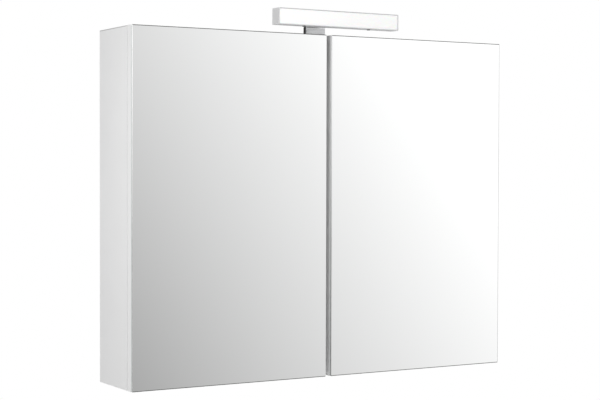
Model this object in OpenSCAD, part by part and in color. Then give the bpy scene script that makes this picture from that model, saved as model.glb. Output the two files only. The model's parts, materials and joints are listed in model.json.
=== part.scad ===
// Two-door mirror cabinet for a bathroom wall, with a lamp on a bracket over its top.
// Origin: on the wall plane, at the middle of the underside. The doors face -Y, the wall is at y = 0.

/* [Cabinet] */
// Width over the side panels
cab_w = 800; // [700:10:1000]
// Height of the panels and the doors
cab_h = 640; // [600:10:720]
// Depth from the wall to the mirror faces
cab_d = 145; // [140:1:180]
// Thickness of the carcass and door boards
board_t = 16; // [16:0.5:18]
// Free depth behind the back panel
back_gap = 10; // [9:0.5:14]
// Thickness of the back panel
back_t = 3; // [3:0.5:5]

/* [Doors] */
// Thickness of the mirror glass
mirror_t = 4; // [3:0.5:6]
// Gap between the two doors, which is the finger grip
door_split = 11; // [6:0.5:16]
// Gap between the closed doors and the carcass
door_clear = 2; // [2:0.1:3]
// Chamfer on the front edges of the glass
glass_chamfer = 1; // [0.3:0.1:1.5]
// Height of each hinge above the bottom and below the top
hinge_inset = 96; // [80:1:120]

/* [Shelves] */
// Thickness of the glass shelves
shelf_t = 6; // [5:0.5:8]
// Heights of the shelf pins that are in use
shelf_levels = [208, 416];
// Depth of a shelf
shelf_d = 82; // [70:1:90]

/* [Lamp] */
// Length of the lamp
lamp_w = 260; // [200:5:400]
// Height of the lamp
lamp_h = 30; // [26:1:40]
// Depth of the lamp
lamp_d = 24; // [20:1:30]
// Gap between the cabinet's top and the underside of the lamp
lamp_lift = 11; // [8:1:14]
// How far the lamp's face stands before the mirrors
lamp_reach = 38; // [30:1:50]
// Width of the bracket that carries the lamp
arm_w = 42; // [36:1:60]

/* [Hidden] */

$fn = 48;
eps = 0.01;

// planes, counted from the wall towards -Y
front_y = -(cab_d - mirror_t - board_t - door_clear);
door_back_y = front_y - door_clear;
glass_y = door_back_y - board_t;
face_y = -cab_d;
back_y = -(back_gap + back_t);
half_w = cab_w / 2;
in_x = half_w - board_t;
roof_z = cab_h - board_t;
hinge_z = [hinge_inset, cab_h - hinge_inset];

// fits
groove_d = 5;
groove_fit = 0.2;
board_fit = 0.05;

// shelf pins
pin_r = 2.45;
pin_hole_r = 2.5;
pin_deep = 9;
pin_rows = [-32, -84];
pin_step = 32;
pin_rest = 3;
shelf_back = 1.5;
shelf_side = 1.5;

// cam fittings
cam_r = 7.5;
cam_deep = 12.5;
cam_x = 34;
cam_rows = [-38, -96];
cam_bolt_r = 3.5;
cam_bolt_hole_r = 4;

// hinge, in a plane seen from below: u inwards from the side's outer face, v forwards from the front
pin_a = [33.5, -17];
pin_b = [44, -4];
pin_c = [10.5, 4.7];
pin_d = [15.5, 5];
outer_path = [pin_a, [32, -5], [23, 4.5], [16, 8.2], pin_c];
inner_path = [pin_b, [36, -5], [27, 4.5], [20, 6], pin_d];
rivet_r = 1.2;
rivet_bore_r = 1.25;
rivet_seat_r = 1.22;
link_half = 2;
link_bend = 2.3;
link_eye = 2.8;
level_low = 0.6;
level_high = 5.4;
cheek_in = 5.8;
cheek_out = 7.3;
cup_u = 21.5;
cup_r = 17.5;
cup_bore_r = 17.6;
cup_pocket_r = 16.5;
cup_deep = 11.8;
cup_pocket = 11;
wing_u = [19, 39];
wing_half = 30;
wing_t = 1.2;
cup_screw = [31, 24];
screw_r = 1.95;
screw_hole_r = 2;
screw_head_r = 3.7;
screw_len = 10;
plate_t = 2.5;
plate_v = [-66, -30];
plate_wing_v = [-45, -33];
plate_screw_v = -39;
plate_screw_z = 16;
arm_screw_v = -54;
arm_sheet = 1.5;
plate_body_half = 9;
plate_wing_half = 23;

// hanging gear
hanger_x = in_x - 22;
hanger_w = 40;
hanger_h = 52;
hanger_d = 20;
hanger_wall = 3;
hook_w = 14;
hook_t = 2;
hook_z = roof_z - 14;
wall_plate_w = 40;
wall_plate_z = roof_z - 64;
wall_screw_z = wall_plate_z + 14;
wall_screw_gap = 24;
wall_screw_r = 2.75;
plate_lip = [-6.8, -4.8];
tongue_back = -2.3;

// switch box under the top panel, beside the partition
box_x = board_t / 2;
box_w = 92;
box_h = 50;
box_y = [-100, -28];
box_wall = 2;
box_screw_xs = [box_x + 12, box_x + box_w - 12];
cover_t = 2.5;
rocker_x = box_x + 22;
rocker_z = roof_z - 25;
rocker_w = 20;
rocker_h = 26;
rocker_tilt = 7;
rocker_pin_r = 1.2;
socket_x = box_x + 62;
socket_r = 19;
driver_size = [50, 26, 16];

// mains inlet through the back panel, behind the switch box
inlet_x = 70;
inlet_z = roof_z - 34;
inlet_hole_r = 8;
inlet_r = 4.5;

// lamp
lamp_face = face_y - lamp_reach;
lamp_back = lamp_face + lamp_d;
lamp_z = cab_h + lamp_lift;
lamp_wall = 1.6;
cap_w = 3;
diffuser_t = 2;
case_screw_x = 70;
case_screw_y = lamp_face + lamp_d / 2;
arm_t = 3;
arm_z = cab_h + 17;
riser_y = [-95, -85];
foot_end = -46;
foot_screw_x = 12;
foot_screw_y = -66;
flange_z = [lamp_z + 4, lamp_z + lamp_h - 4];
lamp_screw_z = lamp_z + lamp_h / 2;

melamine = [0.95, 0.95, 0.94];
mirror_grey = [0.86, 0.89, 0.91];
glass_tint = [0.78, 0.88, 0.86];
nickel = [0.72, 0.72, 0.72];
chrome = [0.80, 0.81, 0.83];
zinc = [0.62, 0.63, 0.65];
white_plastic = [0.93, 0.93, 0.92];
grey_plastic = [0.70, 0.71, 0.72];
opal = [0.99, 0.99, 0.97];
silver = [0.80, 0.80, 0.81];
dark_screw = [0.25, 0.25, 0.26];

// ---------- helpers ----------

// a block between two corners
module block(a, b) {
    translate(a)
        cube(b - a);
}

module right_hand() {
    mirror([1, 0, 0])
        children();
}

// these lay a child that runs along +Z over, so that it runs along +Y, -Y or +X
module along_y() {
    rotate([-90, 0, 0])
        children();
}

module against_y() {
    rotate([90, 0, 0])
        children();
}

module along_x() {
    rotate([0, 90, 0])
        children();
}

// a screw along +Z with its head's face at z = 0 and a cross recess
module sunk_screw(head_r, head_t, shank_r, len) {
    difference() {
        union() {
            cylinder(h = head_t, r1 = head_r, r2 = shank_r);
            cylinder(h = len, r = shank_r);
        }
        cross_recess(head_r * 1.1, 0.7);
    }
}

module pan_screw(head_r, head_t, shank_r, len) {
    difference() {
        union() {
            translate([0, 0, -head_t])
                cylinder(h = head_t, r = head_r);
            cylinder(h = len, r = shank_r);
        }
        translate([0, 0, -head_t])
            cross_recess(head_r * 1.1, 0.7);
    }
}

module cross_recess(size, deep) {
    for (turn = [0, 90])
        rotate([0, 0, turn])
            translate([-size / 2, -0.4, -1])
                cube([size, 0.8, 1 + deep]);
}

// ---------- carcass ----------

// holes for the shelf pins in one face, which looks along +X from x = 0
module pin_holes() {
    for (level = shelf_levels, step = [-1, 0, 1], y = pin_rows)
        translate([-pin_deep, y, level + step * pin_step])
            along_x()
                cylinder(h = pin_deep + 1, r = pin_hole_r);
}

module side_panel() {
    color(melamine)
        difference() {
            block([-half_w, front_y, 0], [-in_x, 0, cab_h]);
            block([-in_x - groove_d, back_y - groove_fit, board_t - groove_d],
                  [-in_x + 1, back_y + back_t + groove_fit, roof_z + groove_d]);
            translate([-in_x, 0, 0])
                pin_holes();
            at_hinges()
                plate_screw_places()
                    translate([board_t - screw_len - 1, 0, 0])
                        along_x()
                            cylinder(h = screw_len + 2, r = screw_hole_r);
            for (z = [board_t / 2, cab_h - board_t / 2], y = cam_rows)
                translate([-in_x - 11, y, z])
                    along_x()
                        cylinder(h = 12, r = cam_bolt_r - 1);
        }
}

module side_panel_left() {
    side_panel();
}

module side_panel_right() {
    right_hand()
        side_panel();
}

// a top or bottom board with its inner face up at z = board_t
module deck() {
    difference() {
        block([-in_x, front_y, 0], [in_x, 0, board_t]);
        block([-in_x - 1, back_y - groove_fit, board_t - groove_d],
              [in_x + 1, back_y + back_t + groove_fit, board_t + 1]);
        for (side = [-1, 1], y = cam_rows) {
            translate([side * (in_x - cam_x), y, board_t - cam_deep])
                cylinder(h = cam_deep + 1, r = cam_r + board_fit);
            translate([side * in_x, y, board_t / 2])
                rotate([0, -side * 90, 0])
                    translate([0, 0, -1])
                        cylinder(h = cam_x + 1, r = cam_bolt_hole_r);
        }
    }
}

module bottom_panel() {
    color(melamine)
        deck();
}

module top_panel() {
    color(melamine)
        difference() {
            translate([0, 0, cab_h])
                mirror([0, 0, 1])
                    deck();
            for (side = [-1, 1])
                translate([side * foot_screw_x, foot_screw_y, cab_h - screw_len])
                    cylinder(h = screw_len + 1, r = screw_hole_r);
            for (x = box_screw_xs)
                translate([x, (box_y[0] + box_y[1]) / 2, roof_z - 1])
                    cylinder(h = screw_len + 1, r = screw_hole_r);
        }
}

module centre_partition() {
    color(melamine)
        difference() {
            block([-board_t / 2, front_y, board_t], [board_t / 2, back_y - groove_fit, roof_z]);
            for (side = [0, 1])
                mirror([side, 0, 0])
                    translate([board_t / 2, 0, 0])
                        partition_holes();
        }
}

// the partition's pin holes are shallow, so that they don't meet those of the other face
module partition_holes() {
    for (level = shelf_levels, step = [-1, 0, 1], y = pin_rows)
        translate([-board_t / 2 + 1, y, level + step * pin_step])
            along_x()
                cylinder(h = board_t / 2, r = pin_hole_r);
}

module back_panel() {
    reach = groove_d - 0.5;
    color(melamine)
        difference() {
            block([-in_x - reach, back_y, board_t - reach], [in_x + reach, back_y + back_t, roof_z + reach]);
            for (side = [-1, 1])
                block([side * hanger_x - hook_w / 2 - 3, back_y - 1, hook_z - 26],
                      [side * hanger_x + hook_w / 2 + 3, 0, hook_z + 8]);
            translate([inlet_x, 0, inlet_z])
                against_y()
                    cylinder(h = cab_d, r = inlet_hole_r);
        }
}

module cam_places() {
    for (side = [-1, 1], top = [0, 1], y = cam_rows)
        translate([0, 0, top * cab_h])
            mirror([0, 0, top])
                translate([side * (in_x - cam_x), y, 0])
                    children();
}

module cam_locks() {
    color(zinc)
        cam_places()
            difference() {
                translate([0, 0, board_t - cam_deep])
                    cylinder(h = cam_deep, r = cam_r);
                translate([0, 0, board_t])
                    mirror([0, 0, 1])
                        cross_recess(8, 1.5);
                block([-20, -4, -1], [20, 4, board_t / 2 + 4]);
            }
}

module cam_bolts() {
    color(nickel)
        for (side = [-1, 1], z = [board_t / 2, cab_h - board_t / 2], y = cam_rows)
            translate([side * (in_x + 10.5), y, z])
                rotate([0, -side * 90, 0]) {
                    cylinder(h = 11, r = cam_bolt_r - 1.05);
                    translate([0, 0, 10.5])
                        cylinder(h = 26, r = cam_bolt_r);
                    translate([0, 0, 36])
                        cylinder(h = 5, r = 1.6);
                    translate([0, 0, 41])
                        cylinder(h = 3, r = 3.2);
                }
}

// ---------- shelves ----------

module shelf(level) {
    color(glass_tint)
        block([-in_x + shelf_side, back_y - shelf_back - shelf_d, level + pin_rest],
              [-board_t / 2 - shelf_side, back_y - shelf_back, level + pin_rest + shelf_t]);
}

module shelf_left_lower() {
    shelf(shelf_levels[0]);
}

module shelf_left_upper() {
    shelf(shelf_levels[1]);
}

module shelf_right_lower() {
    right_hand()
        shelf(shelf_levels[0]);
}

module shelf_right_upper() {
    right_hand()
        shelf(shelf_levels[1]);
}

// a pin in a face that looks along +X, with a flat tongue under the shelf
module shelf_pin(deep) {
    translate([-deep, 0, 0])
        along_x()
            cylinder(h = deep, r = pin_r);
    along_x()
        cylinder(h = 1.2, r = 4);
    translate([0, -4, 1])
        cube([9, 8, pin_rest - 1]);
    translate([0, -0.8, -3])
        cube([6, 1.6, 5]);
}

module shelf_pins() {
    color(nickel)
        for (level = shelf_levels, y = pin_rows) {
            translate([-in_x, y, level])
                shelf_pin(pin_deep - 1);
            translate([-board_t / 2, y, level])
                mirror([1, 0, 0])
                    shelf_pin(board_t / 2 - 1.5);
        }
}

module shelf_pins_left() {
    shelf_pins();
}

module shelf_pins_right() {
    right_hand()
        shelf_pins();
}

// ---------- hanging gear ----------

module hanger_box() {
    color(white_plastic)
        translate([-hanger_x, back_y, roof_z - hanger_h])
            difference() {
                block([-hanger_w / 2, -hanger_d, 0], [hanger_w / 2, 0, hanger_h]);
                block([-hook_w / 2 - 1, -hanger_d + hanger_wall, 10], [hook_w / 2 + 1, 1, hanger_h - 4]);
                for (z = [8, hanger_h - 14])
                    translate([hanger_w / 2 - 6, -hanger_d - 1, z])
                        along_y()
                            cylinder(h = 4, r = 3);
            }
}

module hanger_box_left() {
    hanger_box();
}

module hanger_box_right() {
    right_hand()
        hanger_box();
}

// a steel tongue that reaches through the back and turns down behind the wall plate's lip
module hanger_hook() {
    hook_front = back_y - hanger_d + hanger_wall;
    color(nickel)
        translate([-hanger_x - hook_w / 2, 0, 0]) {
            block([0, hook_front, hook_z - 26], [hook_w, hook_front + hook_t, hook_z]);
            block([0, hook_front, hook_z - hook_t], [hook_w, tongue_back, hook_z]);
            block([0, tongue_back - hook_t, hook_z - 14], [hook_w, tongue_back, hook_z]);
        }
}

module hanger_hook_left() {
    hanger_hook();
}

module hanger_hook_right() {
    right_hand()
        hanger_hook();
}

// fixed to the wall by two screws, with a lip that stands off the wall
module wall_plate() {
    lip_top = hook_z - hook_t - 0.5;
    step_z = [hook_z - 20, hook_z - 18];
    color(nickel)
        translate([-hanger_x - wall_plate_w / 2, 0, 0])
            difference() {
                union() {
                    block([0, -hook_t, wall_plate_z], [wall_plate_w, 0, step_z[1]]);
                    block([0, plate_lip[0], step_z[0]], [wall_plate_w, 0, step_z[1]]);
                    block([0, plate_lip[0], step_z[0]], [wall_plate_w, plate_lip[1], lip_top]);
                }
                for (side = [-1, 1])
                    translate([wall_plate_w / 2 + side * wall_screw_gap / 2, 1, wall_screw_z])
                        against_y()
                            cylinder(h = 12, r = wall_screw_r);
            }
}

module wall_plate_left() {
    wall_plate();
}

module wall_plate_right() {
    right_hand()
        wall_plate();
}

// ---------- doors ----------

module door_board() {
    color(melamine)
        difference() {
            block([-half_w, glass_y, 0], [-door_split / 2, door_back_y, cab_h]);
            at_hinges()
                translate([0, door_clear, 0])
                    cup_space();
        }
}

// the room that a cup, its wings and its screws take in the board, from the board's back inwards
module cup_space() {
    translate([cup_u, -1, 0])
        along_y()
            cylinder(h = 1 + cup_deep + 0.2, r = cup_bore_r);
    translate([wing_u[0] - 0.2, -1, -wing_half - 0.2])
        cube([wing_u[1] - wing_u[0] + 0.4, 1 + wing_t + 0.1, 2 * wing_half + 0.4]);
    for (side = [-1, 1])
        translate([cup_screw[0], 0, side * cup_screw[1]])
            along_y()
                cylinder(h = screw_len + 0.5, r = screw_hole_r);
}

module door_board_left() {
    door_board();
}

module door_board_right() {
    right_hand()
        door_board();
}

// a glass plate whose front edges are chamfered all round
module mirror_plate() {
    c = glass_chamfer;
    x0 = -half_w;
    x1 = -door_split / 2;
    color(mirror_grey)
        intersection() {
            linear_extrude(height = cab_h)
                polygon([[x0, glass_y], [x0, face_y + c], [x0 + c, face_y],
                         [x1 - c, face_y], [x1, face_y + c], [x1, glass_y]]);
            translate([x1, 0, 0])
                rotate([0, -90, 0])
                    linear_extrude(height = x1 - x0)
                        polygon([[0, glass_y], [0, face_y + c], [c, face_y],
                                 [cab_h - c, face_y], [cab_h, face_y + c], [cab_h, glass_y]]);
        }
}

module mirror_left() {
    mirror_plate();
}

module mirror_right() {
    right_hand()
        mirror_plate();
}

module door_bumpers() {
    color(white_plastic)
        for (z = [board_t / 2, cab_h - board_t / 2])
            translate([-40, door_back_y, z])
                along_y()
                    cylinder(h = door_clear - 0.2, r = 4);
}

module door_bumpers_left() {
    door_bumpers();
}

module door_bumpers_right() {
    right_hand()
        door_bumpers();
}

// ---------- hinges ----------

// puts its children at both left hinges: x = u, y = v, z from the hinge's middle
module at_hinges() {
    for (z = hinge_z)
        translate([-half_w, front_y, z])
            mirror([0, 1, 0])
                children();
}

module plate_screw_places() {
    for (side = [-1, 1])
        translate([0, plate_screw_v, side * plate_screw_z])
            children();
}

// a flat bar that runs along a path of points, with an eye at both ends and bores at the given points
module link(path, bores) {
    last = len(path) - 1;
    linear_extrude(height = level_high - level_low)
        difference() {
            union() {
                for (i = [0 : last - 1])
                    stretch(path[i], path[i + 1]);
                for (i = [0 : last])
                    translate(path[i])
                        circle(r = (i == 0 || i == last) ? link_eye : link_bend);
            }
            for (p = bores)
                translate(p)
                    circle(r = rivet_bore_r);
        }
}

module stretch(p, q) {
    run = q - p;
    translate(p)
        rotate([0, 0, atan2(run[1], run[0])])
            translate([0, -link_half])
                square([norm(run), 2 * link_half]);
}

module rivet(p, low, high) {
    translate([p[0], p[1], low])
        cylinder(h = high - low, r = rivet_r);
}

module outer_links() {
    color(nickel)
        at_hinges()
            translate([0, 0, level_low])
                link(outer_path, [pin_a, pin_c]);
}

// the inner link's end in the cup turns free of the cup, so it has no rivet there
module inner_links() {
    color(nickel)
        at_hinges()
            translate([0, 0, -level_high])
                link(inner_path, [pin_b]);
}

// the cup with its slot, its two wings and the holes for its rivet and screws
module hinge_cups() {
    color(nickel)
        at_hinges()
            translate([0, door_clear, 0])
                difference() {
                    union() {
                        translate([cup_u, 0, 0])
                            along_y()
                                cylinder(h = cup_deep, r = cup_r);
                        translate([wing_u[0], 0, -wing_half])
                            cube([wing_u[1] - wing_u[0], wing_t, 2 * wing_half]);
                    }
                    intersection() {
                        translate([cup_u, -1, 0])
                            along_y()
                                cylinder(h = cup_pocket + 1, r = cup_pocket_r);
                        translate([0, -2, -cheek_in])
                            cube([cup_u + cup_r, cup_pocket + 4, 2 * cheek_in]);
                    }
                    for (side = [-1, 1])
                        translate([cup_screw[0], -eps, side * cup_screw[1]])
                            along_y() {
                                cylinder(h = wing_t + 1, r = screw_hole_r);
                                cylinder(h = wing_t, r1 = screw_head_r + 0.1, r2 = screw_hole_r);
                            }
                    translate([pin_c[0], pin_c[1] - door_clear, 0])
                        cylinder(h = cheek_out + 1.05, r = rivet_seat_r);
                }
}

module cup_screws() {
    color(nickel)
        at_hinges()
            for (side = [-1, 1])
                translate([cup_screw[0], door_clear, side * cup_screw[1]])
                    along_y()
                        sunk_screw(screw_head_r, wing_t - 0.1, screw_r, screw_len);
}

module cup_pins() {
    color(zinc)
        at_hinges()
            rivet(pin_c, level_low, cheek_out + 1);
}

// a channel that sits over the mounting plate and carries both fixed rivets in its cheeks
module hinge_arms() {
    floor_u = board_t + plate_t + 0.1;
    color(nickel)
        at_hinges()
            difference() {
                union() {
                    block([floor_u, -62, -cheek_out], [floor_u + arm_sheet, -22, cheek_out]);
                    for (side = [0, 1])
                        mirror([0, 0, side])
                            translate([0, 0, cheek_in])
                                arm_cheek(floor_u);
                }
                for (p = [pin_a, pin_b])
                    translate([p[0], p[1], -20])
                        cylinder(h = 40, r = rivet_seat_r);
                translate([floor_u - 1, arm_screw_v, 0])
                    along_x()
                        cylinder(h = 4, r = screw_hole_r);
            }
}

// the outline of a cheek: low at the back, high where the rivets are
module arm_cheek(floor_u) {
    eye = 3.2;
    linear_extrude(height = cheek_out - cheek_in) {
        polygon([[floor_u, -62], [floor_u + 6, -62], [floor_u + 12, -46],
                 [pin_b[0] - 1, pin_b[1] - eye], [pin_b[0] - 2, pin_b[1] + 2.4],
                 [pin_a[0] - 2, pin_a[1] + eye - 1], [floor_u, -22]]);
        for (p = [pin_a, pin_b])
            translate(p)
                circle(r = eye);
    }
}

module arm_pins() {
    color(zinc)
        at_hinges() {
            rivet(pin_a, level_low, cheek_out + 0.3);
            rivet(pin_b, -cheek_out - 0.3, -level_low);
        }
}

module hinge_plates() {
    color(nickel)
        at_hinges()
            difference() {
                union() {
                    block([board_t, plate_v[0], -plate_body_half], [board_t + plate_t, plate_v[1], plate_body_half]);
                    block([board_t, plate_wing_v[0], -plate_wing_half],
                          [board_t + plate_t, plate_wing_v[1], plate_wing_half]);
                }
                plate_screw_places()
                    translate([board_t + plate_t + eps, 0, 0])
                        rotate([0, -90, 0]) {
                            cylinder(h = 6, r = screw_hole_r);
                            cylinder(h = 1.8, r1 = screw_head_r + 0.1, r2 = screw_hole_r);
                        }
                translate([board_t - 1, arm_screw_v, 0])
                    along_x()
                        cylinder(h = plate_t + 2, r = screw_hole_r);
            }
}

// two screws into the side panel, and one that clamps the arm on the plate
module plate_screws() {
    color(zinc)
        at_hinges() {
            plate_screw_places()
                translate([board_t + plate_t, 0, 0])
                    rotate([0, -90, 0])
                        sunk_screw(screw_head_r, 1.7, screw_r, screw_len + plate_t);
            translate([board_t + plate_t + 0.1 + arm_sheet, arm_screw_v, 0])
                rotate([0, -90, 0])
                    pan_screw(3.2, 1.8, screw_r, plate_t + arm_sheet);
        }
}

module hinge_cups_left() {
    hinge_cups();
}

module hinge_cups_right() {
    right_hand()
        hinge_cups();
}

module cup_screws_left() {
    cup_screws();
}

module cup_screws_right() {
    right_hand()
        cup_screws();
}

module cup_pins_left() {
    cup_pins();
}

module cup_pins_right() {
    right_hand()
        cup_pins();
}

module hinge_arms_left() {
    hinge_arms();
}

module hinge_arms_right() {
    right_hand()
        hinge_arms();
}

module arm_pins_left() {
    arm_pins();
}

module arm_pins_right() {
    right_hand()
        arm_pins();
}

module hinge_plates_left() {
    hinge_plates();
}

module hinge_plates_right() {
    right_hand()
        hinge_plates();
}

module plate_screws_left() {
    plate_screws();
}

module plate_screws_right() {
    right_hand()
        plate_screws();
}

module outer_links_left() {
    outer_links();
}

module outer_links_right() {
    right_hand()
        outer_links();
}

module inner_links_left() {
    inner_links();
}

module inner_links_right() {
    right_hand()
        inner_links();
}

// ---------- switch box ----------

module switch_housing() {
    color(white_plastic)
        difference() {
            block([box_x, box_y[0], roof_z - box_h], [box_x + box_w, box_y[1], roof_z]);
            block([box_x + box_wall, box_y[0] - 1, roof_z - box_h + box_wall],
                  [box_x + box_w - box_wall, box_y[1] - box_wall, roof_z - box_wall]);
            translate([inlet_x, box_y[1] - 10, inlet_z])
                along_y()
                    cylinder(h = 20, r = inlet_r);
            for (x = box_screw_xs)
                translate([x, (box_y[0] + box_y[1]) / 2, roof_z - 5])
                    cylinder(h = 10, r = screw_hole_r);
        }
}

// the box's front, with the rocker's window, its two bearing cheeks and the socket's hole
module switch_cover() {
    back = box_y[0];
    front = box_y[0] - cover_t;
    color(white_plastic)
        difference() {
            union() {
                block([box_x, front, roof_z - box_h], [box_x + box_w, back, roof_z]);
                for (side = [-1, 1])
                    translate([rocker_x + side * (rocker_w / 2 + 2), 0, 0])
                        block([-1.5, back, rocker_z - 5], [1.5, back + 7, rocker_z + 5]);
            }
            block([rocker_x - rocker_w / 2 - 0.5, front - 1, rocker_z - rocker_h / 2 - 1.2],
                  [rocker_x + rocker_w / 2 + 0.5, back + 1, rocker_z + rocker_h / 2 + 1.2]);
            translate([rocker_x - rocker_w, back + 3, rocker_z])
                along_x()
                    cylinder(h = 2 * rocker_w, r = rocker_pin_r + 0.05);
            translate([socket_x, back + 1, rocker_z])
                against_y()
                    cylinder(h = cover_t + 2, r = socket_r + 0.1);
        }
}

// tilted off its middle at rest, so that it can be pressed over to the other side
module rocker_switch() {
    pivot = [rocker_x, box_y[0] + 3, rocker_z];
    color(grey_plastic)
        translate(pivot)
            rotate([rocker_tilt, 0, 0]) {
                difference() {
                    translate([-rocker_w / 2, -8, -rocker_h / 2])
                        cube([rocker_w, 8, rocker_h]);
                    translate([-rocker_w, -8 - 38, 0])
                        along_x()
                            cylinder(h = 2 * rocker_w, r = 39.4, $fn = 180);
                }
                translate([-rocker_w / 2 - 2.5, 0, 0])
                    along_x()
                        cylinder(h = rocker_w + 5, r = rocker_pin_r);
            }
}

module socket_insert() {
    front = box_y[0] - cover_t;
    color(white_plastic)
        translate([socket_x, front, rocker_z])
            along_y()
                difference() {
                    union() {
                        cylinder(h = 16, r = socket_r);
                        translate([0, 0, -1.2])
                            cylinder(h = 1.2, r = socket_r + 2);
                    }
                    translate([0, 0, -3])
                        cylinder(h = 15, r = socket_r - 1.5);
                    for (side = [-1, 1])
                        translate([side * 9.5, 0, 0])
                            cylinder(h = 20, r = 2.4);
                }
}

module led_driver() {
    color(grey_plastic)
        translate([box_x + box_w - box_wall - 2 - driver_size[0], box_y[1] - box_wall - driver_size[1] - 2,
                   roof_z - box_h + box_wall])
            cube(driver_size);
}

module box_screws() {
    color(zinc)
        for (x = box_screw_xs)
            translate([x, (box_y[0] + box_y[1]) / 2, roof_z - box_wall])
                pan_screw(3.5, 2.2, screw_r, screw_len);
}

module cable_grommet() {
    color([0.2, 0.2, 0.2])
        translate([inlet_x, back_y, inlet_z])
            along_y()
                difference() {
                    union() {
                        cylinder(h = back_t, r = inlet_hole_r);
                        translate([0, 0, -1.5])
                            cylinder(h = 1.5, r = inlet_hole_r + 2);
                        translate([0, 0, back_t])
                            cylinder(h = 1.5, r = inlet_hole_r + 2);
                    }
                    translate([0, 0, -5])
                        cylinder(h = 20, r = inlet_r);
                }
}

// ---------- lamp ----------

module lamp_housing() {
    inner = lamp_w / 2 - cap_w;
    color(silver)
        difference() {
            block([-inner, lamp_face, lamp_z], [inner, lamp_back, lamp_z + lamp_h]);
            block([-inner - 1, lamp_face - 1, lamp_z + lamp_wall],
                  [inner + 1, lamp_back - lamp_wall, lamp_z + lamp_h - lamp_wall]);
            for (side = [-1, 1]) {
                translate([side * case_screw_x, case_screw_y, lamp_z - 1])
                    cylinder(h = 4, r = 1.6);
                translate([side * foot_screw_x, lamp_back + 1, lamp_screw_z])
                    against_y()
                        cylinder(h = 6, r = screw_hole_r);
            }
        }
}

module lamp_diffuser() {
    inner = lamp_w / 2 - cap_w - 0.1;
    low = lamp_z + lamp_wall + 0.1;
    high = lamp_z + lamp_h - lamp_wall - 0.1;
    color(opal)
        difference() {
            block([-inner, lamp_face, low], [inner, lamp_face + 8, high]);
            block([-inner - 1, lamp_face + diffuser_t, low + 1.2], [inner + 1, lamp_face + 9, high - 1.2]);
        }
}

module lamp_end_cap() {
    color(silver)
        block([-lamp_w / 2, lamp_face, lamp_z], [-lamp_w / 2 + cap_w - 0.05, lamp_back, lamp_z + lamp_h]);
}

module lamp_end_cap_left() {
    lamp_end_cap();
}

module lamp_end_cap_right() {
    right_hand()
        lamp_end_cap();
}

// a bent sheet on the housing's floor and up its back, which takes the case screws
module led_tray() {
    inner = lamp_w / 2 - cap_w - 4;
    low = lamp_z + lamp_wall;
    back = lamp_back - lamp_wall - 2.2;
    color(silver)
        difference() {
            union() {
                block([-inner, lamp_face + 9, low], [inner, back, low + 1.5]);
                block([-inner, back - 1.5, low], [inner, back, low + 22]);
            }
            for (side = [-1, 1])
                translate([side * case_screw_x, case_screw_y, low - 1])
                    cylinder(h = 4, r = 1.55);
        }
}

module led_strip() {
    inner = lamp_w / 2 - cap_w - 6;
    back = lamp_back - lamp_wall - 3.7;
    count = 22;
    pitch = 2 * inner / count;
    color([0.95, 0.95, 0.85]) {
        block([-inner, back - 1, lamp_z + 8], [inner, back, lamp_z + 20]);
        for (i = [0 : count - 1])
            translate([-inner + (i + 0.5) * pitch, back - 1.8, lamp_z + 14])
                translate([-1.8, 0, -1.4])
                    cube([3.6, 1, 2.8]);
    }
}

module lamp_case_screws() {
    color(dark_screw)
        for (side = [-1, 1])
            translate([side * case_screw_x, case_screw_y, lamp_z])
                pan_screw(3, 1.2, 1.5, 3.1);
}

// one bent and plated piece: foot, riser with side webs, arm, and the flange behind the lamp
module lamp_bracket() {
    half = arm_w / 2;
    color(chrome)
        difference() {
            union() {
                block([-half, riser_y[0], cab_h], [half, foot_end, cab_h + arm_t]);
                block([-half, riser_y[0], cab_h], [half, riser_y[0] + arm_t, arm_z + arm_t]);
                for (side = [0, 1])
                    mirror([side, 0, 0])
                        block([-half, riser_y[0], cab_h], [-half + arm_t, riser_y[1], arm_z + arm_t]);
                block([-half, lamp_back, arm_z], [half, riser_y[1], arm_z + arm_t]);
                block([-half, lamp_back, flange_z[0]], [half, lamp_back + arm_t, flange_z[1]]);
            }
            for (side = [-1, 1]) {
                translate([side * foot_screw_x, foot_screw_y, cab_h - 1])
                    cylinder(h = arm_t + 2, r = screw_hole_r);
                translate([side * foot_screw_x, foot_screw_y, cab_h + arm_t + eps])
                    mirror([0, 0, 1])
                        cylinder(h = 1.8, r1 = screw_head_r + 0.1, r2 = screw_hole_r);
                translate([side * foot_screw_x, lamp_back - 1, lamp_screw_z])
                    along_y()
                        cylinder(h = arm_t + 2, r = screw_hole_r);
            }
        }
}

module bracket_screws() {
    color(nickel)
        for (side = [-1, 1]) {
            translate([side * foot_screw_x, foot_screw_y, cab_h + arm_t])
                mirror([0, 0, 1])
                    sunk_screw(screw_head_r, 1.7, screw_r, screw_len + arm_t - 0.5);
            translate([side * foot_screw_x, lamp_back + arm_t, lamp_screw_z])
                against_y()
                    pan_screw(3.5, 2.2, screw_r, 6.2);
        }
}

side_panel_left();
side_panel_right();
top_panel();
bottom_panel();
centre_partition();
back_panel();
cam_locks();
cam_bolts();
shelf_left_lower();
shelf_left_upper();
shelf_right_lower();
shelf_right_upper();
shelf_pins_left();
shelf_pins_right();
hanger_box_left();
hanger_box_right();
hanger_hook_left();
hanger_hook_right();
wall_plate_left();
wall_plate_right();
door_board_left();
door_board_right();
mirror_left();
mirror_right();
door_bumpers_left();
door_bumpers_right();
hinge_cups_left();
hinge_cups_right();
cup_screws_left();
cup_screws_right();
cup_pins_left();
cup_pins_right();
hinge_arms_left();
hinge_arms_right();
arm_pins_left();
arm_pins_right();
hinge_plates_left();
hinge_plates_right();
plate_screws_left();
plate_screws_right();
outer_links_left();
outer_links_right();
inner_links_left();
inner_links_right();
switch_housing();
switch_cover();
rocker_switch();
socket_insert();
led_driver();
box_screws();
cable_grommet();
lamp_housing();
lamp_diffuser();
lamp_end_cap_left();
lamp_end_cap_right();
led_tray();
led_strip();
lamp_case_screws();
lamp_bracket();
bracket_screws();
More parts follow.
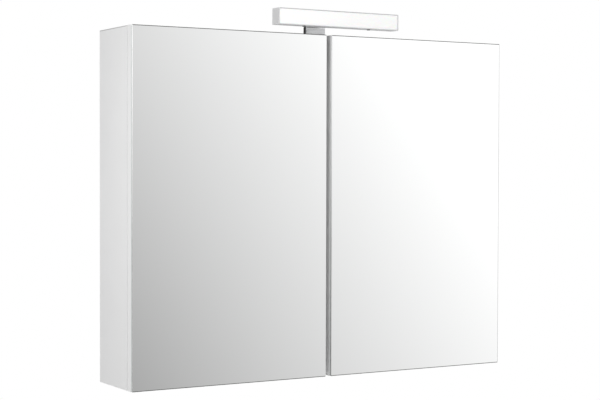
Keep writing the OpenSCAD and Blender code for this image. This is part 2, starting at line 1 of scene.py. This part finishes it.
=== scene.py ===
"""Looks of a two-door mirror cabinet with a bar lamp over its top. Metres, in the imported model's frame."""

import json
import math

import bmesh
import bpy
from mathutils import Matrix, Vector


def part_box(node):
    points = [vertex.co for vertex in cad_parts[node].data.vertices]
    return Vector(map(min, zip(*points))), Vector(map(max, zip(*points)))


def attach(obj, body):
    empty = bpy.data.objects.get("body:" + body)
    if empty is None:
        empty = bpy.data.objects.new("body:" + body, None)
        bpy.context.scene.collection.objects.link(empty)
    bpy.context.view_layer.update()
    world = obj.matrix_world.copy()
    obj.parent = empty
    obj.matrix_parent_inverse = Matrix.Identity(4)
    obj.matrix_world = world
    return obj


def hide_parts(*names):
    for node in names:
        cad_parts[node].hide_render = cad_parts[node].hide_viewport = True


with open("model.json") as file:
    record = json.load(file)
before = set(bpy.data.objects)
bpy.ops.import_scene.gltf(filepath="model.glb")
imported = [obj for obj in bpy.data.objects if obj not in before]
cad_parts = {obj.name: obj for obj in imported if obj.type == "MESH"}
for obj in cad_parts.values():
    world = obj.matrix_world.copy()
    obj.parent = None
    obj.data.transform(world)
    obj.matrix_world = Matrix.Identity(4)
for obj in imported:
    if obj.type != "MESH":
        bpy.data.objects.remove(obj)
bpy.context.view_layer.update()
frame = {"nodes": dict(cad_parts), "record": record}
NODES = frame["nodes"]
MM = 0.001


# ---------- shader helpers ----------

class Shader:
    """A Principled material. Its colour, roughness and bump come from procedural layers in the frame's
    coordinates."""

    def __init__(self, name, color, roughness, metallic=0.0, **sockets):
        self.material = bpy.data.materials.new(name)
        self.material.use_nodes = True
        self.tree = self.material.node_tree
        self.bsdf = self.tree.nodes["Principled BSDF"]
        self.color = color
        self.roughness = roughness
        self.normal = None
        self.bsdf.inputs["Base Color"].default_value = (*color, 1)
        self.bsdf.inputs["Roughness"].default_value = roughness
        self.bsdf.inputs["Metallic"].default_value = metallic
        for socket, value in sockets.items():
            self.bsdf.inputs[socket.replace("_", " ")].default_value = value
        coordinates = self.tree.nodes.new("ShaderNodeTexCoord")
        self.place = coordinates.outputs["Object"]

    def node(self, kind, **values):
        made = self.tree.nodes.new(kind)
        for key, value in values.items():
            if hasattr(value, "is_output"):
                self.tree.links.new(value, made.inputs[key.replace("_", " ")])
            elif key.replace("_", " ") in made.inputs:
                made.inputs[key.replace("_", " ")].default_value = value
            else:
                setattr(made, key, value)
        return made

    def stretched(self, stretch):
        """The frame's coordinates, scaled so that a texture runs long where stretch is small."""
        made = self.node("ShaderNodeMapping", Scale=stretch, Vector=self.place)
        return made.outputs["Vector"]

    def noise(self, scale, detail=4.0, stretch=(1, 1, 1)):
        made = self.node("ShaderNodeTexNoise", Scale=scale, Detail=detail, Vector=self.stretched(stretch))
        return made.outputs["Fac"]

    def ranged(self, value, low, high, from_low=0.3, from_high=0.7):
        made = self.node("ShaderNodeMapRange", Value=value)
        for socket, number in (("From Min", from_low), ("From Max", from_high), ("To Min", low), ("To Max", high)):
            made.inputs[socket].default_value = number
        return made.outputs["Result"]

    def mixed(self, factor, first, second):
        made = self.node("ShaderNodeMix")
        made.data_type = "RGBA"
        self.tree.links.new(factor, made.inputs["Factor"])
        for socket, value in ((6, first), (7, second)):
            if hasattr(value, "is_output"):
                self.tree.links.new(value, made.inputs[socket])
            else:
                made.inputs[socket].default_value = (*value, 1)
        return made.outputs[2]

    def set_color(self, output):
        self.tree.links.new(output, self.bsdf.inputs["Base Color"])
        self.color = output
        return self

    def tone(self, spread, scale, stretch=(1, 1, 1)):
        """Slow, slight changes of tone around the base colour."""
        factor = self.ranged(self.noise(scale, 3.0, stretch), 0, 1)
        darker = tuple(c * (1 - spread) for c in self.color)
        lighter = tuple(min(1, c * (1 + spread)) for c in self.color)
        return self.set_color(self.mixed(factor, darker, lighter))

    def patches(self, low, high, scale, stretch=(1, 1, 1)):
        """Roughness that wanders between two values, as handled or wiped surfaces do."""
        value = self.ranged(self.noise(scale, 5.0, stretch), low, high)
        self.tree.links.new(value, self.bsdf.inputs["Roughness"])
        return self

    def bump(self, scale, height, stretch=(1, 1, 1), detail=3.0, strength=1.0):
        """Relief of a given height in metres, on top of any earlier relief."""
        made = self.node("ShaderNodeBump", Height=self.noise(scale, detail, stretch))
        made.inputs["Distance"].default_value = height
        made.inputs["Strength"].default_value = strength
        if self.normal:
            self.tree.links.new(self.normal, made.inputs["Normal"])
        self.normal = made.outputs["Normal"]
        self.tree.links.new(self.normal, self.bsdf.inputs["Normal"])
        return self

    def towards_top(self, low, high, color):
        """Blends into another colour between two heights of the frame."""
        height = self.node("ShaderNodeSeparateXYZ", Vector=self.place).outputs["Z"]
        return self.set_color(self.mixed(self.ranged(height, 0, 1, low, high), self.color, color))

    def worn_edges(self, radius, color, amount):
        """Colours the outer edges, found where a rounded normal leaves the true one."""
        rounded = self.node("ShaderNodeBevel", Radius=radius)
        geometry = self.node("ShaderNodeNewGeometry")
        dot = self.node("ShaderNodeVectorMath", operation="DOT_PRODUCT")
        self.tree.links.new(rounded.outputs["Normal"], dot.inputs[0])
        self.tree.links.new(geometry.outputs["Normal"], dot.inputs[1])
        edge = self.ranged(dot.outputs["Value"], amount, 0.0, 0.80, 0.985)
        patchy = self.ranged(self.noise(160.0, 4.0), 0.35, 1.0)
        product = self.node("ShaderNodeMath", operation="MULTIPLY")
        self.tree.links.new(edge, product.inputs[0])
        self.tree.links.new(patchy, product.inputs[1])
        return self.set_color(self.mixed(product.outputs["Value"], self.color, color))


# ---------- materials ----------

def melamine(name, top_line_depth=0.0):
    """White melamine faced board: satin, with a fine pressed grain. Given a depth, it turns darker within that depth
    of its top end, except on faces that look up."""
    s = Shader(name, (0.86, 0.861, 0.862), 0.38, Specular_IOR_Level=0.45)
    s.tone(0.012, 9.0).patches(0.32, 0.44, 22.0)
    s.bump(900.0, 0.000012).bump(60.0, 0.00001)
    s.worn_edges(0.0014, (0.58, 0.58, 0.578), 0.75)
    if top_line_depth:
        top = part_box("side_panel_left")[1].z
        board = s.color
        s.towards_top(top - top_line_depth - 0.2 * MM, top - top_line_depth, (0.52, 0.52, 0.515))
        normal = s.node("ShaderNodeNewGeometry").outputs["Normal"]
        upward = s.node("ShaderNodeSeparateXYZ", Vector=normal).outputs["Z"]
        s.set_color(s.mixed(s.ranged(upward, 0, 1, 0.6, 0.8), s.color, board))
    return s.material


def mirror_face():
    """Silvered float glass seen from the front, with the faint haze and wipe marks of a used mirror."""
    s = Shader("mirror_face", (0.93, 0.934, 0.932), 0.01, 1.0)
    s.tone(0.004, 3.0).patches(0.004, 0.022, 7.0, (1, 1, 0.35))
    return s.bump(2.2, 0.00004, detail=1.0).material


def ground_glass(name, color, painted_highlight_color=None):
    """The seamed arris of a mirror: ground glass, greyer than the face. Given a highlight colour, it is painted
    lighter towards its top as a painted highlight.
    """
    s = Shader(name, color, 0.34, Specular_IOR_Level=0.3)
    s.tone(0.10, 240.0, (0.3, 1, 1)).patches(0.28, 0.48, 700.0)
    if painted_highlight_color:
        s.towards_top(250 * MM, 600 * MM, painted_highlight_color)
    return s.bump(2500.0, 0.00002).material


def polished_glass_edge(name, color, painted_highlight_color=None):
    """The polished side of a glass plate. Given a highlight colour, it is painted lighter towards its top as a
    painted highlight.
    """
    s = Shader(name, color, 0.08, Specular_IOR_Level=0.7, Coat_Weight=0.6, Coat_Roughness=0.04)
    s.tone(0.07, 55.0).patches(0.05, 0.14, 300.0)
    if painted_highlight_color:
        s.towards_top(20 * MM, 600 * MM, painted_highlight_color)
    return s.bump(800.0, 0.000006, (1, 1, 0.2)).material


def mirror_backing():
    """Grey protective paint behind the silvering."""
    s = Shader("mirror_backing", (0.13, 0.14, 0.145), 0.55)
    s.tone(0.12, 90.0).patches(0.45, 0.65, 60.0)
    return s.bump(1400.0, 0.00001).material


def shelf_glass():
    """Clear float glass, with a slight green body."""
    s = Shader("shelf_glass", (0.90, 0.975, 0.95), 0.012, Transmission_Weight=1.0, IOR=1.51)
    s.tone(0.01, 6.0).patches(0.006, 0.03, 12.0)
    return s.bump(3.0, 0.00002, detail=1.0).material


def anodised(name, color, metallic):
    """Satin anodised aluminium, drawn along the lamp."""
    s = Shader(name, color, 0.40, metallic)
    s.tone(0.03, 45.0, (0.05, 1, 1)).patches(0.30, 0.44, 120.0, (0.04, 1, 1))
    s.bump(1600.0, 0.000008, (0.03, 1, 1))
    return s.worn_edges(0.0006, tuple(min(0.9, c * 1.15) for c in color), 0.4).material


def opal():
    """Opal diffuser, lit softly from behind by the diodes."""
    s = Shader("opal", (0.93, 0.93, 0.925), 0.30, Subsurface_Weight=0.15, Subsurface_Scale=0.004,
               Emission_Strength=0.20)
    s.bsdf.inputs["Emission Color"].default_value = (1.0, 0.995, 0.98, 1)
    s.tone(0.008, 30.0).patches(0.26, 0.36, 90.0)
    return s.bump(1300.0, 0.000012).material


def chrome(name, color):
    """Polished chrome on the bracket, with hairline wipe marks."""
    s = Shader(name, color, 0.06, 1.0)
    s.tone(0.02, 70.0).patches(0.04, 0.13, 260.0, (0.2, 1, 1))
    s.bump(1200.0, 0.000003, (0.1, 1, 1))
    return s.worn_edges(0.0005, tuple(min(0.95, c * 1.08) for c in color), 0.4).material


def nickel():
    """Nickel plated pressed steel."""
    s = Shader("nickel_steel", (0.68, 0.67, 0.64), 0.24, 1.0)
    s.tone(0.03, 90.0).patches(0.17, 0.29, 160.0)
    s.bump(900.0, 0.000004)
    return s.worn_edges(0.0005, (0.82, 0.81, 0.78), 0.6).material


def zinc():
    """Bright zinc on screws and rivets."""
    s = Shader("zinc", (0.56, 0.57, 0.59), 0.32, 1.0)
    s.tone(0.10, 350.0).patches(0.22, 0.46, 420.0)
    return s.bump(1500.0, 0.00001).material


def dark_screw():
    """Blackened steel of the lamp's case screws."""
    s = Shader("dark_screw", (0.055, 0.055, 0.06), 0.34, 0.6)
    s.tone(0.2, 500.0).patches(0.26, 0.5, 600.0)
    return s.bump(1800.0, 0.000008).material


def moulded(name, color, roughness):
    """Injection moulded plastic with a fine spark texture."""
    s = Shader(name, color, roughness, Specular_IOR_Level=0.5)
    s.tone(0.015, 40.0).patches(roughness - 0.06, roughness + 0.08, 80.0)
    s.bump(1900.0, 0.00002)
    return s.worn_edges(0.0005, tuple(c * 0.9 for c in color), 0.4).material


def soft_rubber(name, color, roughness):
    s = Shader(name, color, roughness, Specular_IOR_Level=0.4)
    s.tone(0.06, 150.0).patches(roughness - 0.1, roughness + 0.1, 200.0)
    return s.bump(900.0, 0.00002).material


def circuit_board():
    """White solder resist with pale diodes."""
    s = Shader("led_board", (0.88, 0.88, 0.80), 0.35, Emission_Strength=0.25)
    s.bsdf.inputs["Emission Color"].default_value = (1.0, 0.97, 0.90, 1)
    s.tone(0.05, 220.0, (1, 0.2, 1)).patches(0.25, 0.45, 300.0)
    return s.bump(1100.0, 0.00001).material


WHITE = melamine("white_melamine")
TOP_LINED_MELAMINE = melamine("melamine_top_line", 1.6 * MM)
MIRROR = mirror_face()
# uprights' arris: grey ground glass with a painted highlight that lightens it towards the top
GROUND = ground_glass("ground_glass", (0.44, 0.445, 0.442), (0.97, 0.975, 0.973))
# dark ground glass: painted shade on the arrises that face up, down and to the outer right
GROUND_PAINTED_SHADE = ground_glass("ground_glass_painted_shade", (0.045, 0.048, 0.047))
POLISHED = polished_glass_edge("polished_glass_edge", (0.72, 0.765, 0.75))
# glass side beside the grip gap: painted shade, dark low down, turning into a painted highlight towards the top
POLISHED_SHADED = polished_glass_edge("polished_glass_shaded", (0.20, 0.213, 0.208), (0.97, 0.975, 0.973))
BACKING = mirror_backing()
SILVER = anodised("lamp_silver", (0.62, 0.622, 0.628), 0.5)
# the end caps' own lighter silver, also put on the lamp's lower lip as a painted highlight
CAP_SILVER_AND_LIP_HIGHLIGHT = anodised("cap_silver_and_lip_highlight", (0.80, 0.80, 0.805), 0.25)
CHROME = chrome("bracket_chrome", (0.92, 0.923, 0.928))
# darker chrome for the bracket's side webs: painted shade
CHROME_PAINTED_SHADE = chrome("bracket_side_painted_shade", (0.30, 0.302, 0.306))
NICKEL = nickel()
ZINC = zinc()
OPAL = opal()
PLASTIC = moulded("white_plastic", (0.84, 0.84, 0.83), 0.42)

BY_SLOT = {
    "white_melamine": WHITE,
    "zinc": ZINC,
    "nickel_steel": NICKEL,
    "shelf_glass": shelf_glass(),
    "white_plastic": PLASTIC,
    "rocker_grey": moulded("rocker_grey", (0.52, 0.53, 0.54), 0.28),
    "driver_grey": moulded("driver_grey", (0.50, 0.51, 0.52), 0.5),
    "mirror_glass": MIRROR,
    "bumper": soft_rubber("bumper", (0.72, 0.73, 0.73), 0.42),
    "black_rubber": soft_rubber("black_rubber", (0.03, 0.03, 0.032), 0.6),
    "lamp_silver": SILVER,
    "opal": OPAL,
    "led_board": circuit_board(),
    "dark_screw": dark_screw(),
    "bracket_chrome": CHROME,
}

# how far the edges of the CAD nodes are rounded, by slot, in millimetres
EDGE_ROUND = {
    "white_melamine": 0.45,
    "zinc": 0.12,
    "nickel_steel": 0.2,
    "shelf_glass": 0.9,
    "white_plastic": 0.5,
    "rocker_grey": 0.7,
    "driver_grey": 1.0,
    "bumper": 0.5,
    "black_rubber": 0.4,
    "led_board": 0.1,
    "dark_screw": 0.3,
    "lamp_silver": 0.3,
}


def round_edges(piece, width, segments=3):
    """Rounds the sharp edges of a piece with a bevel, and shades it smooth between them."""
    bevel = piece.modifiers.new("edges", "BEVEL")
    bevel.width = width
    bevel.segments = segments
    bevel.limit_method = "ANGLE"
    bevel.angle_limit = math.radians(40)
    bevel.harden_normals = False
    weighted = piece.modifiers.new("normals", "WEIGHTED_NORMAL")
    weighted.keep_sharp = True


def dress_cad_nodes():
    """Every CAD node gets its slot's material; those of the slots listed above also get softly rounded edges."""
    for row in frame["record"]["subparts"]:
        piece = NODES[row["node"]]
        piece.data.materials.clear()
        piece.data.materials.append(TOP_LINED_MELAMINE if row["node"].startswith("side_panel") else BY_SLOT[row["material_slot"]])
        if row["material_slot"] in EDGE_ROUND:
            round_edges(piece, EDGE_ROUND[row["material_slot"]] * MM, 2)


# ---------- mesh helpers ----------

def new_piece(name, bm, materials):
    bmesh.ops.recalc_face_normals(bm, faces=bm.faces)
    mesh = bpy.data.meshes.new(name)
    bm.to_mesh(mesh)
    bm.free()
    for material in materials:
        mesh.materials.append(material)
    piece = bpy.data.objects.new(name, mesh)
    bpy.context.scene.collection.objects.link(piece)
    return piece


ARC_STEPS = 6


def rounded_outline(corners, radii):
    """A closed outline through corners, each turned with an arc of its own radius."""
    points = []
    count = len(corners)
    for i, corner in enumerate(corners):
        here = Vector(corner)
        before = (Vector(corners[i - 1]) - here).normalized()
        after = (Vector(corners[(i + 1) % count]) - here).normalized()
        radius = radii[i]
        if radius <= 0:
            points.append(here)
            continue
        half = before.angle(after) / 2
        reach = radius / math.tan(half)
        centre = here + (before + after).normalized() * (radius / math.sin(half))
        start = here + before * reach - centre
        end = here + after * reach - centre
        sweep = start.angle_signed(end)
        for k in range(ARC_STEPS + 1):
            points.append(centre + Matrix.Rotation(-sweep * k / ARC_STEPS, 2) @ start)
    return points


def extruded_x(outline, x0, x1, material_of=None):
    """A bmesh of an outline in (y, z), run from x0 to x1."""
    bm = bmesh.new()
    ends = [[bm.verts.new((x, p[0], p[1])) for p in outline] for x in (x0, x1)]
    bm.faces.new(ends[0])
    bm.faces.new(ends[1])
    count = len(outline)
    for i in range(count):
        j = (i + 1) % count
        face = bm.faces.new((ends[0][i], ends[0][j], ends[1][j], ends[1][i]))
        if material_of:
            face.material_index = material_of(i)
    return bm


# ---------- mirror plates ----------

def mirror_plate(side):
    """A glass plate with ground arrises: the face mirrors, its sides are polished and its back is painted.
    Along the level edges and the outer right one the arris and a thin strip of the face inside it are painted dark
    as shade. The arris of the left plate beside the grip gap is only broken. On the right plate the polished side
    beside the grip gap is painted dark as shade, lightening into a painted highlight towards its top."""
    low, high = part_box("mirror_" + side)
    chamfer = 1.0 * MM
    corner = 0.8 * MM
    shade_strip_width = 0.35 * MM
    broken_share = 0.3
    rings = [
        (high.y, chamfer * 0.5),
        (high.y - chamfer * 0.5, 0),
        (low.y + chamfer, 0),
        (low.y, chamfer),
        (low.y, chamfer + shade_strip_width),
    ]
    bm = bmesh.new()
    loops = []
    for y, inset in rings:
        right = high.x - inset * (broken_share if side == "left" else 1)
        outline = rounded_outline(
            [(low.x + inset, low.z + inset), (right, low.z + inset),
             (right, high.z - inset), (low.x + inset, high.z - inset)],
            [corner] * 4)
        loops.append([bm.verts.new((p[0], y, p[1])) for p in outline])
    materials = [MIRROR, GROUND, POLISHED, BACKING, GROUND_PAINTED_SHADE, POLISHED_SHADED]
    back_edge, glass_side, arris, shade_strip = range(len(rings) - 1)
    usual = {back_edge: BACKING, glass_side: POLISHED, arris: GROUND, shade_strip: MIRROR}
    near = 2 * corner
    for ring in usual:
        first, second = loops[ring], loops[ring + 1]
        for i in range(len(first)):
            j = (i + 1) % len(first)
            face = bm.faces.new((first[i], first[j], second[j], second[i]))
            level = abs(first[i].co.x - first[j].co.x) > abs(first[i].co.z - first[j].co.z)
            outer_right = side == "right" and first[i].co.x > high.x - near
            beside_gap_left = side == "left" and first[i].co.x > high.x - near
            beside_gap_right = side == "right" and first[i].co.x < low.x + near
            material = usual[ring]
            # painted shade: the arris and the thin face strip inside it go dark on level edges and the outer right
            # one
            if ring in (arris, shade_strip) and (level or outer_right):
                material = GROUND_PAINTED_SHADE
            elif ring == arris and beside_gap_left:
                material = MIRROR
            # the right plate's glass side beside the grip gap takes the painted shade and highlight
            elif ring == glass_side and beside_gap_right and not level:
                material = POLISHED_SHADED
            face.material_index = materials.index(material)
    bm.faces.new(loops[0]).material_index = materials.index(BACKING)
    bm.faces.new(loops[-1]).material_index = materials.index(MIRROR)
    piece = new_piece("mirror_plate_" + side, bm, materials)
    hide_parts("mirror_" + side)
    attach(piece, "door_" + side)


# ---------- lamp ----------

def lamp_body():
    """The drawn channel of the lamp, open at the front, with a lip that holds the diffuser. Its lower lip is painted
    in the lighter cap silver as a painted highlight.
    """
    low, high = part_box("lamp_housing")
    wall = 1.6 * MM
    lip = 0.5 * MM
    corners = [
        (low.y, low.z), (high.y, low.z), (high.y, high.z), (low.y, high.z),
        (low.y, high.z - wall), (high.y - wall, high.z - wall), (high.y - wall, low.z + wall), (low.y, low.z + wall),
    ]
    radii = [lip, 1.8 * MM, 1.8 * MM, lip, lip, 0.8 * MM, 0.8 * MM, lip]
    arc = ARC_STEPS + 1
    # the lower lip takes the lighter silver: a painted highlight
    highlighted_lower_lip = (*range(ARC_STEPS), *range(7 * arc, 8 * arc))
    bm = extruded_x(rounded_outline(corners, radii), low.x, high.x, lambda i: int(i in highlighted_lower_lip))
    piece = new_piece("lamp_channel", bm, [SILVER, CAP_SILVER_AND_LIP_HIGHLIGHT])
    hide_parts("lamp_housing")
    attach(piece, "root")


def lamp_cap(side):
    """A moulded end cap whose outer edges are rounded."""
    low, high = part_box("lamp_end_cap_" + side)
    corners = [(low.y, low.z), (high.y, low.z), (high.y, high.z), (low.y, high.z)]
    outline = rounded_outline(corners, [1.3 * MM, 1.8 * MM, 1.8 * MM, 1.3 * MM])
    piece = new_piece("lamp_cap_" + side, extruded_x(outline, low.x, high.x), [CAP_SILVER_AND_LIP_HIGHLIGHT])
    round_edges(piece, 0.5 * MM)
    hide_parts("lamp_end_cap_" + side)
    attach(piece, "root")


def lamp_opal():
    """The diffuser: a thin slightly crowned front with a leg along each long edge."""
    low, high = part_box("lamp_diffuser")
    middle = (low.z + high.z) / 2
    half = (high.z - low.z) / 2
    inset = 0.35 * MM
    wall = 1.6 * MM
    steps = 12
    front = []
    for k in range(steps + 1):
        t = 1 - 2 * k / steps
        front.append((low.y + inset * t * t, middle + half * t))
    legs = [(high.y, low.z), (high.y, low.z + wall), (low.y + 2 * MM, low.z + wall),
            (low.y + 2 * MM, high.z - wall), (high.y, high.z - wall), (high.y, high.z)]
    piece = new_piece("lamp_opal", extruded_x(front + legs, low.x, high.x), [OPAL])
    round_edges(piece, 0.3 * MM, 2)
    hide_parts("lamp_diffuser")
    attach(piece, "root")


def bent_bracket():
    """One bent and plated sheet: foot on the top panel, riser, arm, and a flange up the lamp's back."""
    low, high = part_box("lamp_bracket")
    t = 3 * MM
    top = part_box("top_panel")[1].z
    riser = -95 * MM
    web_back = -85 * MM
    arm_low = top + 17 * MM
    corners = [
        (high.y, top), (high.y, top + t), (riser + t, top + t), (riser + t, arm_low + t),
        (low.y + t, arm_low + t), (low.y + t, high.z), (low.y, high.z), (low.y, arm_low),
        (riser, arm_low), (riser, top),
    ]
    inner, outer = 1.5 * MM, 3.5 * MM
    radii = [0.3 * MM, 0.3 * MM, inner, outer, inner, 0.8 * MM, 0.8 * MM, outer, inner, outer]
    bm = extruded_x(rounded_outline(corners, radii), low.x, high.x)
    sheet = new_piece("bracket_sheet", bm, [CHROME])
    round_edges(sheet, 0.3 * MM, 2)
    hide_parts("lamp_bracket")
    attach(sheet, "root")
    # the side webs are painted darker as shade
    for name, x0, x1 in (("left", low.x, low.x + t), ("right", high.x - t, high.x)):
        web = [(riser + t * 0.5, top + t * 0.5), (web_back, top + t * 0.5),
               (web_back, arm_low + t * 0.5), (riser + t * 0.5, arm_low + t * 0.5)]
        piece = new_piece("bracket_web_" + name, extruded_x(rounded_outline(web, [0, 0, 2.5 * MM, 0]), x0, x1),
                          [CHROME_PAINTED_SHADE])
        round_edges(piece, 0.3 * MM, 2)
        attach(piece, "root")


# ---------- stage ----------

def pale_floor():
    """A pale floor far below the hung cabinet, fading out towards its rim so that no horizon cuts the view."""
    bm = bmesh.new()
    bmesh.ops.create_circle(bm, cap_ends=True, segments=96, radius=6.0)
    s = Shader("floor", (0.92, 0.92, 0.917), 0.8)
    s.tone(0.01, 1.5).patches(0.7, 0.9, 3.0)
    rim = s.node("ShaderNodeVectorMath", operation="LENGTH")
    s.tree.links.new(s.place, rim.inputs[0])
    mix = s.node("ShaderNodeMixShader")
    s.tree.links.new(s.ranged(rim.outputs["Value"], 0, 1, 0.6, 5.6), mix.inputs["Fac"])
    s.tree.links.new(s.bsdf.outputs["BSDF"], mix.inputs[1])
    s.tree.links.new(s.node("ShaderNodeBsdfTransparent").outputs["BSDF"], mix.inputs[2])
    s.tree.links.new(mix.outputs["Shader"], s.tree.nodes["Material Output"].inputs["Surface"])
    floor = new_piece("floor", bm, [s.material])
    floor.location = (0, 0, -1.45)


def studio_world():
    """White to the camera. Mirrors see a soft studio, bright to the upper right and dim to the lower left, and
    matt surfaces see a dimmer copy of it that leaves room for the lights."""
    world = bpy.data.worlds.new("studio")
    bpy.context.scene.world = world
    world.use_nodes = True
    tree = world.node_tree
    tree.nodes.clear()

    def add(kind, **settings):
        made = tree.nodes.new(kind)
        for key, value in settings.items():
            setattr(made, key, value)
        return made

    def along(direction):
        dot = add("ShaderNodeVectorMath", operation="DOT_PRODUCT")
        tree.links.new(where.outputs["Generated"], dot.inputs[0])
        dot.inputs[1].default_value = Vector(direction).normalized()
        return dot.outputs["Value"]

    def ramp(value, from_low, from_high, low, high, kind="LINEAR"):
        made = add("ShaderNodeMapRange", interpolation_type=kind)
        tree.links.new(value, made.inputs["Value"])
        for socket, number in (("From Min", from_low), ("From Max", from_high), ("To Min", low), ("To Max", high)):
            made.inputs[socket].default_value = number
        return made.outputs["Result"]

    where = add("ShaderNodeTexCoord")
    path = add("ShaderNodeLightPath")
    glow = ramp(along((0.728, 0.42, 0.542)), -0.187, 0.102, 0.395, 1.148)
    shade = ramp(along((-0.5, 0.866, 0.0)), 0.97, 0.99, 1.0, 0.12, "SMOOTHSTEP")
    matt = ramp(path.outputs["Is Diffuse Ray"], 0, 1, 1, 0.62)
    product = glow
    for factor in (shade, matt):
        times = add("ShaderNodeMath", operation="MULTIPLY")
        tree.links.new(product, times.inputs[0])
        tree.links.new(factor, times.inputs[1])
        product = times.outputs["Value"]
    room = add("ShaderNodeBackground")
    tree.links.new(product, room.inputs["Strength"])
    white = add("ShaderNodeBackground")
    for background in (room, white):
        background.inputs["Color"].default_value = (1, 1, 1, 1)
    mix = add("ShaderNodeMixShader")
    out = add("ShaderNodeOutputWorld")
    tree.links.new(path.outputs["Is Camera Ray"], mix.inputs["Fac"])
    tree.links.new(room.outputs["Background"], mix.inputs[1])
    tree.links.new(white.outputs["Background"], mix.inputs[2])
    tree.links.new(mix.outputs["Shader"], out.inputs["Surface"])


def soft_light(name, place, aim, size, power):
    data = bpy.data.lights.new(name, "AREA")
    data.shape = "DISK"
    data.size = size
    data.energy = power
    lamp = bpy.data.objects.new(name, data)
    bpy.context.scene.collection.objects.link(lamp)
    lamp.location = place
    lamp.rotation_mode = "QUATERNION"
    lamp.rotation_quaternion = (Vector(aim) - Vector(place)).to_track_quat("-Z", "Y")
    lamp.visible_glossy = False
    lamp.visible_camera = False


def photo_camera():
    """Looks from the cabinet's left front, a little above its middle."""
    azimuth, elevation, roll = math.radians(-30.24), math.radians(1.38), math.radians(0.14)
    target = Vector((0.022, 0, 0.328))
    distance = 2.885
    back = Vector((math.sin(azimuth) * math.cos(elevation), -math.cos(azimuth) * math.cos(elevation),
                   math.sin(elevation)))
    right = Vector((0, 0, 1)).cross(back).normalized()
    up = back.cross(right)
    tilted_right = right * math.cos(roll) + up * math.sin(roll)
    tilted_up = up * math.cos(roll) - right * math.sin(roll)
    data = bpy.data.cameras.new("camera")
    data.lens = 88.03
    data.sensor_width = 36
    camera = bpy.data.objects.new("camera", data)
    bpy.context.scene.collection.objects.link(camera)
    camera.matrix_world = Matrix.LocRotScale(
        target + back * distance,
        Matrix((tilted_right, tilted_up, back)).transposed(),
        None)
    bpy.context.scene.camera = camera


photo_camera()
dress_cad_nodes()
for door in ("left", "right"):
    mirror_plate(door)
    lamp_cap(door)
lamp_body()
lamp_opal()
bent_bracket()
pale_floor()
studio_world()
soft_light("side", (-1.15, -0.8, 0.5), (-0.4, 0, 0.35), 0.5, 7.9)
soft_light("top", (0.8, -1.8, 2.6), (0, 0, 0.35), 1.6, 18)
soft_light("back", (1.4, 2.4, 1.6), (0, 0, 0.35), 1.8, 14)
bpy.context.scene.view_settings.view_transform = "Standard"
